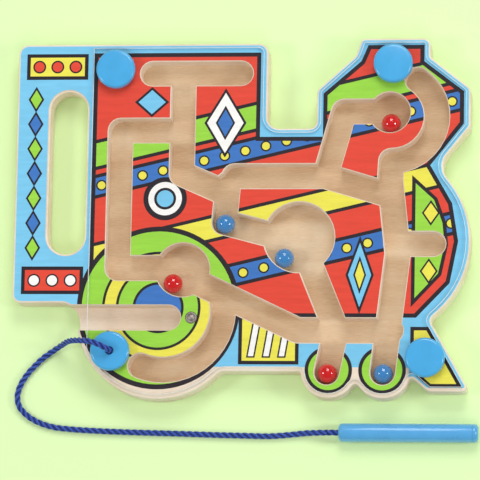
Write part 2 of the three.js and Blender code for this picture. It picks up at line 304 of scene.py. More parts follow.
class Mottled(Surface):
    """One colour with a faint mottle in its shade and gloss, and a relief of fine noise over it."""

    mottle: Place
    detail: float = 2.0
    deep: float = 0.9
    light: float = 1.0
    lift: float = 0.0
    stops: Point = (0.3, 0.7)
    gloss: Point | None = None
    relief: Relief | None = None
    constants: dict[str, float] = {}

    def __init__(self, name: str, seen: Seen, gloss: Point | None = None) -> None:
        """Builds the colour between a deeper and a lighter shade.

        Args:
            name: The material's name.
            seen: Its colour.
            gloss: The limits of its roughness, or None for the finish's own.
        """
        super().__init__(name)
        base = linear(*seen)
        deep = tuple(part * self.deep for part in base)
        light = tuple(min(1.0, part * self.light + self.lift) for part in base)
        mottle = self.noise(self.mottle, self.detail)
        self.put(Base_Color=self.ramp(mottle, zip(self.stops, (deep, light))), **self.constants)
        limits = gloss or self.gloss
        if limits:
            self.rough(mottle, *limits)
        if self.relief:
            stretch, detail, height, strength = self.relief
            self.bump(self.noise(stretch, detail), height, strength)


class PrintInk(Mottled):
    """Ink printed on sanded wood, with a little of the grain in it."""

    mottle = (60, 420, 200)
    detail = 3.0
    deep = 0.93
    light = 1.03
    lift = 0.002
    gloss = (0.42, 0.54)
    relief = (mottle, detail, 0.00003, 0.25)
    constants = {"Specular_IOR_Level": 0.25}


class Moulded(Mottled):
    """Glossy moulded plastic with a very soft ripple."""

    mottle = (90, 90, 90)
    deep = 0.95
    light = 1.04
    relief = ((600, 600, 600), 2.0, 0.00002, 0.15)
    constants = {"Coat_Weight": 0.5, "Coat_Roughness": 0.1}


class Sprayed(Mottled):
    """Gloss paint sprayed on steel, with its orange-peel skin."""

    mottle = (260, 260, 260)
    gloss = (0.05, 0.09)
    relief = ((900, 900, 900), 1.0, 0.00001, 0.1)
    constants = {"Specular_IOR_Level": 0.8, "Coat_Weight": 0.8, "Coat_Roughness": 0.04}


class Turned(Mottled):
    """Turned steel or plating, with fine tool marks."""

    mottle = (300, 4000, 300)
    deep = 0.8
    gloss = (0.46, 0.62)
    relief = (mottle, 2.0, 0.00002, 0.3)
    constants = {"Metallic": 1.0}


class PaintedEdgeHighlight(Mottled):
    """The clear sheet's sawn and flamed edge, painted near-opaque white as a painted highlight of the light
    it catches.
    """

    mottle = (500, 500, 3000)
    constants = {"Roughness": 0.25, "Alpha": 0.95}


class ClearAcrylic(Surface):
    """Clear sheet that lets lamps through, with its gloss on top."""

    ior: float = 1.45
    most_gloss: float = 0.4
    tint: tuple[float, ...] = (0.96, 0.98, 1.0, 1.0)

    def __init__(self) -> None:
        """Builds a see-through body under a gloss that grows towards grazing views."""
        super().__init__("clear_acrylic")
        self.put(Base_Color=self.tint, Metallic=1.0, Roughness=0.03)
        gloss = self.math("MINIMUM", self.add("Fresnel", IOR=self.ior).outputs["Fac"], self.most_gloss)
        outside = self.math("LESS_THAN", self.add("NewGeometry").outputs["Backfacing"], 0.5)
        mix = self.add("MixShader", Fac=self.math("MULTIPLY", gloss, outside))
        self.set(mix.inputs[1], self.add("BsdfTransparent").outputs["BSDF"])
        self.set(mix.inputs[2], self.shader.outputs["BSDF"])
        self.feed(self.output, Surface=mix.outputs["Shader"])


class Yarn(Surface):
    """Laid yarn, each strand with its own twist of fibres, with painted shade in the grooves between the
    strands.
    """

    # From the dark painted shade deep in the grooves up to the light tone of the strands' crowns.
    tones: tuple[Colour, ...] = (linear(5, 12, 62), linear(16, 46, 144), linear(60, 106, 208))
    tone_places: Place = (0.1, 0.55, 1.0)
    lowest: float = 0.8
    highest: float = 1.4
    fibre: Place = (900, 14, 1)
    fibre_turn: float = 0.4
    fibre_share: float = 0.55

    def __init__(self) -> None:
        """Builds fibres along each strand from its own map, and painted shade from its height over the
        cord's middle.
        """
        super().__init__("laid_yarn")
        strand = self.add("TexCoord").outputs["UV"]
        along = self.add("Mapping", Vector=strand, Scale=self.fibre, Rotation=(0, 0, self.fibre_turn))
        fibre = self.noise(along.outputs["Vector"], 3.0)
        # Painted shade: the lower a point lies between the strands, the darker its tone, and the strands'
        # crowns take the light tone.
        height = self.add("VertexColor")
        height.layer_name = "height"
        raised = self.add("SeparateColor", Color=height.outputs["Color"]).outputs["Red"]
        lit = self.math("ADD", raised, self.math("MULTIPLY", fibre, self.fibre_share))
        lit = self.math("DIVIDE", self.math("SUBTRACT", lit, self.lowest), self.highest - self.lowest)
        tone = self.ramp(lit, zip(self.tone_places, self.tones))
        self.put(Base_Color=tone, Roughness=0.6, Sheen_Weight=0.15, Sheen_Roughness=0.5)
        self.bump(fibre, height=0.0002, strength=0.6)


class FloorPaint(Surface):
    """The plain pale floor."""

    seen: Seen = (226, 253, 189)

    def __init__(self) -> None:
        """Builds a matt floor of one colour."""
        super().__init__("floor_paint")
        self.put(Base_Color=(*linear(*self.seen), 1.0), Roughness=0.9, Specular_IOR_Level=0.1)


class Shape:
    """An object in the scene, with short ways to use the modelling operators on it."""

    finished: ClassVar[list[Shape]] = []

    def __init__(self, obj: bpy.types.Object) -> None:
        """Takes up an object."""
        self.obj = obj

    @staticmethod
    def mode(name: str) -> None:
        """Goes into edit mode or object mode."""
        bpy.ops.object.mode_set(mode=name)

    @staticmethod
    def clear() -> None:
        """Leaves edit mode and deselects everything."""
        if bpy.context.object and bpy.context.object.mode != "OBJECT":
            Shape.mode("OBJECT")
        bpy.ops.object.select_all(action="DESELECT")

    @classmethod
    def made(cls, name: str, data: bpy.types.Mesh | bpy.types.Curve) -> Shape:
        """Puts a mesh or a curve into the scene.

        Args:
            name: The new object's name.
            data: The mesh or the curve.

        Returns:
            The new shape.
        """
        data.name = name
        obj = bpy.data.objects.new(name, data)
        bpy.context.collection.objects.link(obj)
        return cls(obj)

    @classmethod
    def added(cls, name: str) -> Shape:
        """Takes up the active object, names it and moves its place into its mesh.

        Args:
            name: The name of the object and its mesh.

        Returns:
            The shape.
        """
        obj = bpy.context.object
        obj.name = name
        obj.data.name = name
        bpy.ops.object.transform_apply(location=True, rotation=True, scale=True)
        return cls(obj)

    @classmethod
    def cylinder(cls, name: str, radius: float, bottom: float, top: float, sides: int) -> Shape:
        """Adds an upright cylinder on the Z axis.

        Args:
            name: The new object's name.
            radius: Its radius in metres.
            bottom: The height of its lower face.
            top: The height of its upper face.
            sides: How many sides it has.

        Returns:
            The cylinder.
        """
        cls.clear()
        bpy.ops.mesh.primitive_cylinder_add(
            vertices=sides, radius=radius, depth=top - bottom, location=(0, 0, (top + bottom) / 2)
        )
        return cls.added(name)

    @classmethod
    def of_node(cls, name: str, node: bpy.types.Object) -> Shape:
        """Copies a CAD node, with its loose triangles merged.

        Args:
            name: The copy's name.
            node: The CAD node.

        Returns:
            The copy.
        """
        twin = cls(node).copy(name, node.matrix_world)
        twin.obj.data.materials.clear()
        twin.edit()
        bpy.ops.mesh.remove_doubles(threshold=TOUCH)
        cls.mode("OBJECT")
        return twin

    def copy(self, name: str, place: Matrix = Matrix()) -> Shape:
        """Copies the shape to a place, with a mesh of its own.

        Args:
            name: The copy's name.
            place: Where the copy goes.

        Returns:
            The copy.
        """
        data = self.obj.data.copy()
        data.transform(place)
        return Shape.made(name, data)

    def move(self, x: float, y: float, z: float) -> None:
        """Moves the mesh, so that the object stays at the origin."""
        self.obj.data.transform(Matrix.Translation((x, y, z)))

    def drop(self) -> None:
        """Deletes a helper."""
        bpy.data.objects.remove(self.obj, do_unlink=True)

    def pick(self) -> None:
        """Makes it the only object selected, and active."""
        Shape.clear()
        self.obj.select_set(True)
        bpy.context.view_layer.objects.active = self.obj

    def edit(self) -> None:
        """Goes into edit mode with all of it selected."""
        self.pick()
        Shape.mode("EDIT")
        bpy.ops.mesh.select_all(action="SELECT")

    def select(self, kind: Pick, test: Callable[[Vector, Vector], bool]) -> None:
        """Goes into edit mode with some faces or edges selected.

        Args:
            kind: Faces or edges.
            test: Takes a face's middle and normal, or an edge's two ends.
        """
        self.pick()
        Shape.mode("EDIT")
        bpy.ops.mesh.select_mode(type=kind.value)
        bpy.ops.mesh.select_all(action="DESELECT")
        Shape.mode("OBJECT")
        mesh = self.obj.data
        if kind is Pick.FACES:
            for face in mesh.polygons:
                face.select = test(face.center, face.normal)
        else:
            for edge in mesh.edges:
                edge.select = test(*(mesh.vertices[i].co for i in edge.vertices))
        Shape.mode("EDIT")

    def end_face(self, height: float, facing: float) -> None:
        """Goes into edit mode with the flat face selected that lies at a height and faces up or down.

        Args:
            height: Where the face lies.
            facing: 1 where it faces up, -1 where it faces down.
        """

        def is_end(middle: Vector, normal: Vector) -> bool:
            """Whether a face is the one."""
            return abs(middle.z - height) < TOUCH and normal.z * facing > LEVEL

        self.select(Pick.FACES, is_end)

    def sink(self, height: float, facing: float, margin: float, move: float) -> None:
        """Insets the flat end face and pushes it along Z.

        Args:
            height: Where the end face lies.
            facing: 1 where it faces up, -1 where it faces down.
            margin: How far the inset goes in from the face's rim.
            move: How far the inner face moves along Z.
        """
        self.end_face(height, facing)
        bpy.ops.mesh.inset(thickness=margin, depth=0)
        bpy.ops.mesh.extrude_region_move(TRANSFORM_OT_translate={"value": (0, 0, move)})
        Shape.mode("OBJECT")

    def round_rim(self, height: float, radius: float, width: float, steps: int) -> None:
        """Rounds a ring of edges about the Z axis.

        Args:
            height: Where the ring lies.
            radius: The ring's radius.
            width: The rounding's radius.
            steps: How many facets it has.
        """

        def on_ring(*ends: Vector) -> bool:
            """Whether both ends of an edge lie on the ring."""
            return all(abs(p.z - height) < TOUCH and abs(p.xy.length - radius) < NEAR for p in ends)

        self.select(Pick.EDGES, on_ring)
        bpy.ops.mesh.bevel(offset=width, segments=steps, profile=0.5, affect="EDGES")
        Shape.mode("OBJECT")

    def modify(self, kind: str, **settings: object) -> None:
        """Adds a modifier and applies it.

        Args:
            kind: The modifier's type.
            settings: Values of its properties.
        """
        self.pick()
        modifier = self.obj.modifiers.new(kind.lower(), kind)
        for name, value in settings.items():
            setattr(modifier, name, value)
        bpy.ops.object.modifier_apply(modifier=modifier.name)

    def cut(self, operation: str, other: Shape) -> None:
        """Joins it with another shape, cuts it by it or keeps what both share."""
        self.modify("BOOLEAN", operation=operation, solver="EXACT", object=other.obj)

    def smooth(self, degrees: float) -> None:
        """Shades it smooth, apart from edges sharper than an angle."""
        self.pick()
        bpy.ops.object.shade_smooth_by_angle(angle=math.radians(degrees))

    def dress(self, finish: Surface) -> None:
        """Gives it one material."""
        self.obj.data.materials.clear()
        self.obj.data.materials.append(finish.material)

    def settle(self, finish: Surface, slot: str, body: str, node: str | None = None) -> None:
        """Dresses a finished piece and enters it in the frame.

        Args:
            finish: Its finish.
            slot: Not used; the record's material slot that it stands for.
            body: The body that it rides on.
            node: The CAD node that it replaces, if it does.
        """
        self.dress(finish)
        if node:
            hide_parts(node)
        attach(self.obj, body)
        Shape.finished.append(self)


def corners(node: str) -> Axes:
    """A CAD node's lowest and highest corners."""
    low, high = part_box(node)
    return Vector(low), Vector(high)


def disc(x: float, y: float, radius: float, sides: int = 48) -> Loop:
    """The outline of a circle."""
    turn = 2 * math.pi / sides
    return [(x + radius * math.cos(turn * i), y + radius * math.sin(turn * i)) for i in range(sides)]


def rectangle(left: float, bottom: float, right: float, top: float) -> Loop:
    """The outline of an upright rectangle."""
    return [(left, bottom), (right, bottom), (right, top), (left, top)]


def diamond(x: float, y: float, width: float, height: float) -> Loop:
    """The outline of a diamond that stands on its point."""
    return [(x + width / 2, y), (x, y + height / 2), (x - width / 2, y), (x, y - height / 2)]


def bar(start: Point, end: Point, width: float) -> Loop:
    """The outline of a straight band with square ends.

    Args:
        start: The middle of its first end.
        end: The middle of its other end.
        width: Its width.

    Returns:
        The outline.
    """
    first, last = Vector(start), Vector(end)
    along = (last - first).normalized()
    side = Vector((-along.y, along.x)) * width / 2
    return [tuple(corner) for corner in (first - side, last - side, last + side, first + side)]


def grown(loop: Loop, by: float) -> Loop:
    """An outline with each side moved out.

    Args:
        loop: A closed outline.
        by: How far its sides move out.

    Returns:
        The larger outline.
    """
    count = len(loop)
    area = sum(loop[i - 1][0] * loop[i][1] - loop[i][0] * loop[i - 1][1] for i in range(count))
    side = 1 if area > 0 else -1
    bluntest = 0.35
    out: list[Point] = []
    for i in range(count):
        at = Vector(loop[i])
        before = (at - Vector(loop[i - 1])).normalized()
        after = (Vector(loop[(i + 1) % count]) - at).normalized()
        miter = (Vector((before.y, -before.x)) + Vector((after.y, -after.x))) * side
        out.append(tuple(at + miter * (by * 2 / max(bluntest, miter.length_squared))))
    return out


@dataclass
class PrintedFace:
    """The printed design, drawn in millimetres: ribbons, dots, rings and diamonds with dark lines."""

    face_height: float = 18 * MM
    lift: float = 0.005 * MM
    layer: float = 0.015 * MM
    slab: float = 0.4 * MM
    root: float = 0.5 * MM
    over: float = 1 * MM
    line: float = 2.3
    field_line: float = 2.7
    ring_lines: Point = (3.2, 1.7)
    thin_line: float = 1.0
    slope: float = 0.24
    ribbon_ends: Point = (-110.0, 150.0)
    ribbons: tuple[tuple[Ink, float, float], ...] = (
        (Ink.LIME, 64, 15), (Ink.ROYAL, 43, 11), (Ink.YELLOW, -3, 13), (Ink.ROYAL, -37, 11)
    )
    dot_ends: Point = (-92.0, 136.0)
    field_outline: Loop = (
        (-96, 106), (8.5, 106), (8.5, 50), (55, 50), (55, 80), (79, 101), (83, 110.5), (115, 110.5),
        (115, 101), (141, 81), (141, 62), (119, 34), (134, 8), (138, -16), (133, -42), (113, -63),
        (-10, -63), (-96, -46),
    )
    field_levels: tuple[int, ...] = (4, 5, 6, 7)
    sky_fields: tuple[Loop, ...] = (
        rectangle(-160, -57.5, 160, 130), rectangle(-40, -98, 112, -57), rectangle(110, -111, 160, -57)
    )
    layers: dict[tuple[int, Ink], list[Loop]] = field(default_factory=dict)

    def add(self, level: int, ink: Ink, loop: Loop, line: float | None = None) -> None:
        """Puts a shape on the design, with a dark line round it.

        Args:
            level: Which layer it is printed in. Its dark line is in the layer under it.
            ink: Its colour.
            loop: Its outline.
            line: How far the dark line stands out, or None for the usual line.
        """
        width = self.line if line is None else line
        self.layers.setdefault((level, ink), []).append(loop)
        self.layers.setdefault((level - 1, Ink.BLACK), []).append(grown(loop, width))

    def slanted(self, ends: Point, height: float) -> list[Point]:
        """The ends of a slanted line that passes over the origin at a height."""
        return [(x, height + x * self.slope) for x in ends]

    def dots(self, level: int, ink: Ink, ends: Sequence[Point], count: int, radius: float) -> None:
        """A row of dots with dark rims.

        Args:
            level: The layer that it is printed in.
            ink: Its colour.
            ends: The first and the last dot's middle.
            count: How many dots it has.
            radius: A dot's radius.
        """
        start, end = ends
        for i in range(count):
            x, y = (a + (b - a) * i / (count - 1) for a, b in zip(start, end))
            self.add(level, ink, disc(x, y, radius, sides=28), self.thin_line)

    def rings(self, level: int, x: float, y: float, steps: Sequence[tuple[Ink, float]]) -> None:
        """Discs on one middle, each over the last and smaller."""
        for i, (ink, radius) in enumerate(steps):
            self.add(level + 2 * i, ink, disc(x, y, radius, sides=72), self.ring_lines[min(i, 1)])

    def compose(self) -> None:
        """Lays out the whole design, from the large fields up to the small motifs."""
        self.add(3, Ink.RED, self.field_outline, self.field_line)
        for ink, height, width in self.ribbons:
            self.add(5, ink, bar(*self.slanted(self.ribbon_ends, height), width))
        for ink, height, _ in self.ribbons:
            if ink is Ink.ROYAL:
                self.dots(7, Ink.YELLOW, self.slanted(self.dot_ends, height), count=18, radius=2.6)
        self.rings(9, -53, -59.6, [(Ink.LIME, 50), (Ink.YELLOW, 35), (Ink.LIME, 26), (Ink.ROYAL, 15)])
        for x in (58.2, 92.8):
            self.add(9, Ink.LIME, disc(x, -99.8, 13))
        self.add(9, Ink.YELLOW, rectangle(2, -94, 36.5, -67))
        for x in (6, 16, 26):
            slat = [(x, -91), (x + 3.5, -91), (x + 7, -70), (x + 3.5, -70)]
            self.add(11, Ink.WHITE, slat, self.thin_line)
        self.add(9, Ink.YELLOW, [(113, -74), (121, -74), (140.5, -108.5), (124, -108.5), (113, -99)])
        self.add(9, Ink.LIME, [(113, 22), (125, 11), (130.5, -4), (132, -18), (128, -37), (113, -53)])
        self.rings(11, -50, 12, [(Ink.WHITE, 11), (Ink.SKY, 5.5)])
        for level, ink, x, y, width, height, line in (
            (11, Ink.YELLOW, 123, 2.5, 9, 13, 1.1),
            (11, Ink.YELLOW, 122, -35.5, 9, 13, 1.1),
            (11, Ink.WHITE, -11.5, 62, 24, 40, 1.5),
            (13, Ink.ROYAL, -11.5, 62, 10, 18, 1.2),
            (11, Ink.SKY, -60, 76, 18, 16, 1.5),
            (11, Ink.SKY, 77.5, -38, 15, 42, 1.5),
            (13, Ink.YELLOW, 77.5, -38, 6, 18, 1.1),
        ):
            self.add(level, ink, diamond(x, y, width, height), line)
        self.frame_left_side()

    def frame_left_side(self) -> None:
        """Puts bars, dots and a row of diamonds round the handle slot."""
        for ink, bottom, top, dot_ink, middle in (
            (Ink.YELLOW, 93.5, 106, Ink.RED, 99.7),
            (Ink.RED, -48.5, -35, Ink.WHITE, -41.8),
        ):
            self.add(9, ink, rectangle(-141, bottom, -105, top))
            self.dots(11, dot_ink, [(-135, middle), (-111, middle)], count=3, radius=3.3)
        for i in range(7):
            ink = Ink.LIME if i % 2 == 0 else Ink.ROYAL
            self.add(9, ink, diamond(-136.6, 78 - 16.4 * i, 7.5, 12.5), 1.2)

    def sheet(self, board: bpy.types.Object) -> Shape:
        """Makes a thin slab over every flat part of the board's face.

        Args:
            board: The board's CAD node.

        Returns:
            The slab, which each layer of ink is cut to.
        """
        slab = Shape.of_node("face_slab", board)
        lowest = self.face_height - NEAR
        slab.select(Pick.FACES, lambda middle, normal: middle.z < lowest or normal.z < LEVEL)
        bpy.ops.mesh.delete(type="FACE")
        Shape.mode("OBJECT")
        slab.modify("SOLIDIFY", thickness=self.slab, offset=1.0)
        slab.move(0, 0, self.lift)
        return slab

    def prisms(self, name: str, loops: Iterable[Loop], top: float) -> Shape:
        """Makes upright prisms of some outlines, from under the face up to a height.

        Args:
            name: The new object's name.
            loops: Closed outlines.
            top: Their upper height.

        Returns:
            All the prisms, as one mesh.
        """
        bottom = self.face_height - self.root
        parts = []
        for loop in loops:
            curve = bpy.data.curves.new(name, "CURVE")
            curve.dimensions = "2D"
            curve.fill_mode = "BOTH"
            curve.extrude = (top - bottom) / 2
            spline = curve.splines.new("POLY")
            spline.points.add(len(loop) - 1)
            for point, (x, y) in zip(spline.points, loop):
                point.co = (x * MM, y * MM, 0, 1)
            spline.use_cyclic_u = True
            flat = Shape.made(name, curve)
            flat.obj.location.z = (top + bottom) / 2
            flat.pick()
            bpy.ops.object.convert(target="MESH")
            part = Shape.added(name)
            part.edit()
            bpy.ops.mesh.remove_doubles(threshold=TOUCH / 10)
            bpy.ops.mesh.normals_make_consistent(inside=False)
            Shape.mode("OBJECT")
            parts.append(part)
        for part in parts[1:]:
            parts[0].cut("UNION", part)
            part.drop()
        return parts[0]

    def build(self, board: bpy.types.Object) -> None:
        """Prints the design on the board, as one thin piece for each layer and ink.

        Args:
            board: The board's CAD node.
        """
        self.compose()
        self.layers[(1, Ink.SKY)] = self.sky_fields
        slab = self.sheet(board)
        inks = {ink: PrintInk("ink_" + ink.name.lower(), ink.value) for ink in Ink}
        field_prism = self.prisms("field_prism", [self.field_outline], self.face_height + self.over)
        for level, ink in sorted(self.layers, key=lambda key: (key[0], key[1].name)):
            name = f"print_{level}_{ink.name.lower()}"
            top = self.face_height + self.lift + level * self.layer
            piece = self.prisms(name, self.layers[(level, ink)], top)
            if level in self.field_levels:
                piece.cut("INTERSECT", field_prism)
            piece.cut("INTERSECT", slab)
            piece.settle(inks[ink], "wood", "board")
        slab.drop()
        field_prism.drop()


@dataclass
class ClearCover:
    """The clear sheet, with its upper edge eased and its cut edge painted near-opaque white as a painted
    highlight.
    """

    ease: float = 0.6 * MM
    flat: float = math.radians(1)
    corner: float = math.radians(60)
    face_level: float = 0.95
    edge_highlight_seen: Seen = (250, 253, 255)

    def build(self, node: bpy.types.Object) -> None:
        """Makes the sheet from its CAD node.

        Args:
            node: The sheet's CAD node.
        """
        sheet = Shape.of_node("cover_sheet", node)
        sheet.modify("DECIMATE", decimate_type="DISSOLVE", angle_limit=self.flat)
        sheet.modify("BEVEL", width=self.ease, segments=2, limit_method="ANGLE", angle_limit=self.corner)
        sheet.settle(ClearAcrylic(), "clear_acrylic", "board", "clear_cover")
        mesh = sheet.obj.data
        # The sheet's edge faces get a near-opaque white: a painted highlight along its cut edge.
        mesh.materials.append(PaintedEdgeHighlight("acrylic_edge", self.edge_highlight_seen).material)
        for face in mesh.polygons:
            face.material_index = 0 if abs(face.normal.z) > self.face_level else 1


@dataclass
class Caps:
    """The moulded caps that hold the cover."""

    radius: float = 12.75 * MM
    height: float = 4.6 * MM
    edge: float = 1.9 * MM
    shank: float = 4.0 * MM
    bottom: float = 20.6 * MM
    foot: float = 11.0 * MM
    foot_ease: float = 0.6 * MM
    cord_hole: float = 2.5 * MM
    mouth_ease: float = 0.8 * MM
    seen: Seen = (74, 172, 228)
    gloss: Point = (0.15, 0.25)
    spots: tuple[tuple[str, float, float], ...] = (
        ("cap_upper_left", -83.8, 97.2),
        ("cap_upper_right", 97.8, 100.2),
        ("cap_lower_right", 120.5, -92.1),
        ("cord_cap", -83.3, -88.5),
    )

    def master(self, top: float) -> Shape:
        """Models one cap with its shank, on the Z axis.

        Args:
            top: The height of its top.

        Returns:
            The cap.
        """
        cap = Shape.cylinder("cap_master", self.radius, self.bottom, top, sides=72)
        cap.sink(self.bottom, -1, self.radius - self.shank, self.foot - self.bottom)
        cap.round_rim(top, self.radius, self.edge, steps=6)
        cap.round_rim(self.foot, self.shank, self.foot_ease, steps=2)
        return cap

    def bore(self, cap: Shape, top: float) -> None:
        """Drills the cord's hole down a cap and eases its mouth.

        Args:
            cap: The cap, on the Z axis.
            top: The height of its top.
        """
        drill = Shape.cylinder("cord_drill", self.cord_hole, 0, 2 * top, sides=40)
        cap.cut("DIFFERENCE", drill)
        drill.drop()
        cap.round_rim(top, self.cord_hole, self.mouth_ease, steps=4)

    def build(self) -> None:
        """Makes every cap in its place."""
        top = self.bottom + self.height
        master = self.master(top)
        plastic = Moulded("cap_plastic", self.seen, self.gloss)
        for node, x, y in self.spots:
            cap = master.copy(node + "_moulded")
            if node == "cord_cap":
                self.bore(cap, top)
            cap.move(x * MM, y * MM, 0)
            cap.smooth(degrees=40)
            cap.settle(plastic, "blue_plastic", "board", node)
        master.drop()


@dataclass
class Balls:
    """The painted steel balls, three of each colour."""

    paints: tuple[tuple[str, Seen], ...] = (("red", (218, 18, 22)), ("blue", (62, 138, 204)))
    cuts: int = 15

    def master(self) -> Shape:
        """Models one ball at the origin, from a cube with even faces.

        Returns:
            The ball.
        """
        low, high = corners("ball_red_1")
        radius = (high.x - low.x) / 2
        Shape.clear()
        bpy.ops.mesh.primitive_cube_add(size=2 * radius)
        ball = Shape.added("ball_master")
        ball.edit()
        bpy.ops.mesh.subdivide(number_cuts=self.cuts)
        Shape.mode("OBJECT")
        rounded = {"factor": 1.0, "size": radius, "use_radius_as_size": False}
        ball.modify("CAST", **rounded)
        ball.modify("SUBSURF", levels=1, render_levels=1)
        ball.modify("CAST", **rounded)
        ball.smooth(degrees=80)
        return ball

    def build(self) -> None:
        """Makes each ball where its CAD node lies."""
        master = self.master()
        for colour, seen in self.paints:
            paint = Sprayed(f"ball_{colour}_paint", seen)
            for number in (1, 2, 3):
                node = f"ball_{colour}_{number}"
                low, high = corners(node)
                ball = master.copy(f"painted_{colour}_{number}", Matrix.Translation((low + high) / 2))
                ball.settle(paint, colour + "_paint", f"{colour}_{number}", node)
        master.drop()


@dataclass
class Keeper:
    """The steel disc that holds the parked wand."""

    ease: float = 0.5 * MM
    rim: float = 0.9 * MM
    groove: float = 0.8 * MM
    groove_floor: float = 0.5 * MM
    crown_step: float = 0.8 * MM
    crown_rises: Point = (0.7, 0.2)
    seen: Seen = (214, 203, 196)

    def build(self) -> None:
        """Makes the disc where its CAD node lies, with a groove round its crowned middle."""
        low, high = corners("keeper_disc")
        middle = (low + high) / 2
        radius = (high.x - low.x) / 2
        keeper = Shape.cylinder("keeper_turned", radius, low.z, high.z, sides=48)
        keeper.sink(high.z, 1, self.rim, -self.groove)
        keeper.end_face(high.z - self.groove, 1)
        bpy.ops.mesh.inset(thickness=self.groove_floor, depth=0)
        for rise in self.crown_rises:
            bpy.ops.mesh.inset(thickness=self.crown_step, depth=self.groove * rise)
        Shape.mode("OBJECT")
        keeper.round_rim(high.z, radius, self.ease, steps=3)
        keeper.move(middle.x, middle.y, 0)
        keeper.smooth(degrees=30)
        keeper.settle(Turned("keeper_steel", self.seen), "steel", "board", "keeper_disc")


@dataclass
class Wand:
    """The wand: a moulded tube with a rounded tail, a plug in its tip and a magnet inside."""

    radius: float = 6.0 * MM
    wall: float = 1.9 * MM
    tail_wall: float = 6.0 * MM
    end_round: float = 2.6 * MM
    end_steps: int = 7
    length: float = 90.0 * MM
    plug_head: float = 3.4 * MM
    plug_spigot: float = 5.0 * MM
    gap: float = 0.3 * MM
    seam: float = 0.05 * MM
    seam_ease: float = 0.1 * MM
    cord_hole: float = 2.5 * MM
    sides: int = 64
    tail: Place = (64.3 * MM, -138.8 * MM, 6.0 * MM)
    seen: Seen = (86, 168, 224)
    gloss: Point = (0.23, 0.33)

    def barrel(self, end: float) -> Shape:
        """Models the tube with its tail at z = 0, bored from both ends.

        Args:
            end: Where the tube ends.

        Returns:
            The tube.
        """
        tube = Shape.cylinder("wand_tube", self.radius, 0, end, self.sides)
        tube.sink(0, -1, self.radius - self.cord_hole, self.tail_wall / 2)
        tube.sink(end, 1, self.wall, self.tail_wall - end)
        tube.round_rim(0, self.radius, self.end_round, self.end_steps)
        tube.round_rim(end, self.radius, self.seam_ease, steps=2)
        return tube

    def plug(self, start: float) -> Shape:
        """Models the tip's plug, its spigot towards z = 0.

        Args:
            start: Where the plug's head starts.

        Returns:
            The plug.
        """
        plug = Shape.cylinder("wand_plug", self.radius, start, self.length, self.sides)
        plug.sink(start, -1, self.wall + self.gap, -(self.seam + self.plug_spigot))
        plug.round_rim(self.length, self.radius, self.end_round, self.end_steps)
        plug.round_rim(start, self.radius, self.seam_ease, steps=2)
        return plug

    def build(self) -> None:
        """Makes the tube and the plug on the Z axis, and lays both in place."""
        end = self.length - self.plug_head - self.gap
        lying = Matrix.Translation(self.tail) @ Matrix.Rotation(math.pi / 2, 4, "Y")
        plastic = Moulded("wand_plastic", self.seen, self.gloss)
        for piece, node in (
            (self.barrel(end), "wand_barrel"),
            (self.plug(end + self.seam), "wand_tip_plug"),
        ):
            piece.obj.data.transform(lying)
            piece.smooth(degrees=40)
            piece.settle(plastic, "blue_plastic", "wand", node)


def around(point: Vector, axes: Axes, angle: float, reach: float) -> Vector:
    """The point at an angle and a distance round a line."""
    return point + (axes[0] * math.cos(angle) + axes[1] * math.sin(angle)) * reach


def between(p: Vector, q: Vector, start: float, end: float, at: float) -> Vector:
    """The point at a value between two points that stand at a start and an end."""
    return p * ((end - at) / (end - start)) + q * ((at - start) / (end - start))


def distances(line: Sequence[Vector]) -> list[float]:
    """How far along a line each of its points lies."""
    return [0.0, *accumulate((q - p).length for p, q in zip(line, line[1:]))]


def smooth_route(points: Sequence[Sequence[float]], step: float) -> list[Vector]:
    """Points along a smooth curve through given points, a step apart.

    Args:
        points: The route's points in metres.
        step: The distance between the new points.

    Returns:
        The points of the curve.
    """
    at = [Vector(p) for p in points]
    at = [at[0] * 2 - at[1], *at, at[-1] * 2 - at[-2]]
    parts = 24
    fine: list[Vector] = []
    for a, b, c, d in zip(at, at[1:], at[2:], at[3:]):
        t0 = 0.0
        t1 = t0 + (b - a).length ** 0.5
        t2 = t1 + (c - b).length ** 0.5
        t3 = t2 + (d - c).length ** 0.5
        for i in range(parts):
            t = t1 + (t2 - t1) * i / parts
            middle = between(b, c, t1, t2, t)
            low = between(between(a, b, t0, t1, t), middle, t0, t2, t)
            high = between(middle, between(c, d, t2, t3, t), t1, t3, t)
            fine.append(between(low, high, t1, t2, t))
    fine.append(at[-2])
    total = distances(fine)[-1]
    fewest = 4
    count = max(fewest, round(total / step))
    wanted = total / count
    slack = 1e-12
    spaced = [fine[0]]
    walked = 0.0
    for p, q in zip(fine, fine[1:]):
        piece = (q - p).length
        while piece > 0 and walked + piece >= wanted - slack and len(spaced) < count:
            p = p + (q - p) * ((wanted - walked) / piece)
            spaced.append(p)
            piece = (q - p).length
            walked = 0.0
        walked += piece
    return [*spaced, fine[-1]]


def frames(line: Sequence[Vector]) -> list[Axes]:
    """Two directions across a line at each of its points, which turn as little as they can.

    Args:
        line: The line's points.

    Returns:
        The directions.
    """
    out: list[Axes] = []
    side = (line[1] - line[0]).normalized().orthogonal().normalized()
    for i in range(len(line)):
        ahead = (line[min(i + 1, len(line) - 1)] - line[max(i - 1, 0)]).normalized()
        side = (side - ahead * side.dot(ahead)).normalized()
        out.append((side.copy(), ahead.cross(side)))
    return out


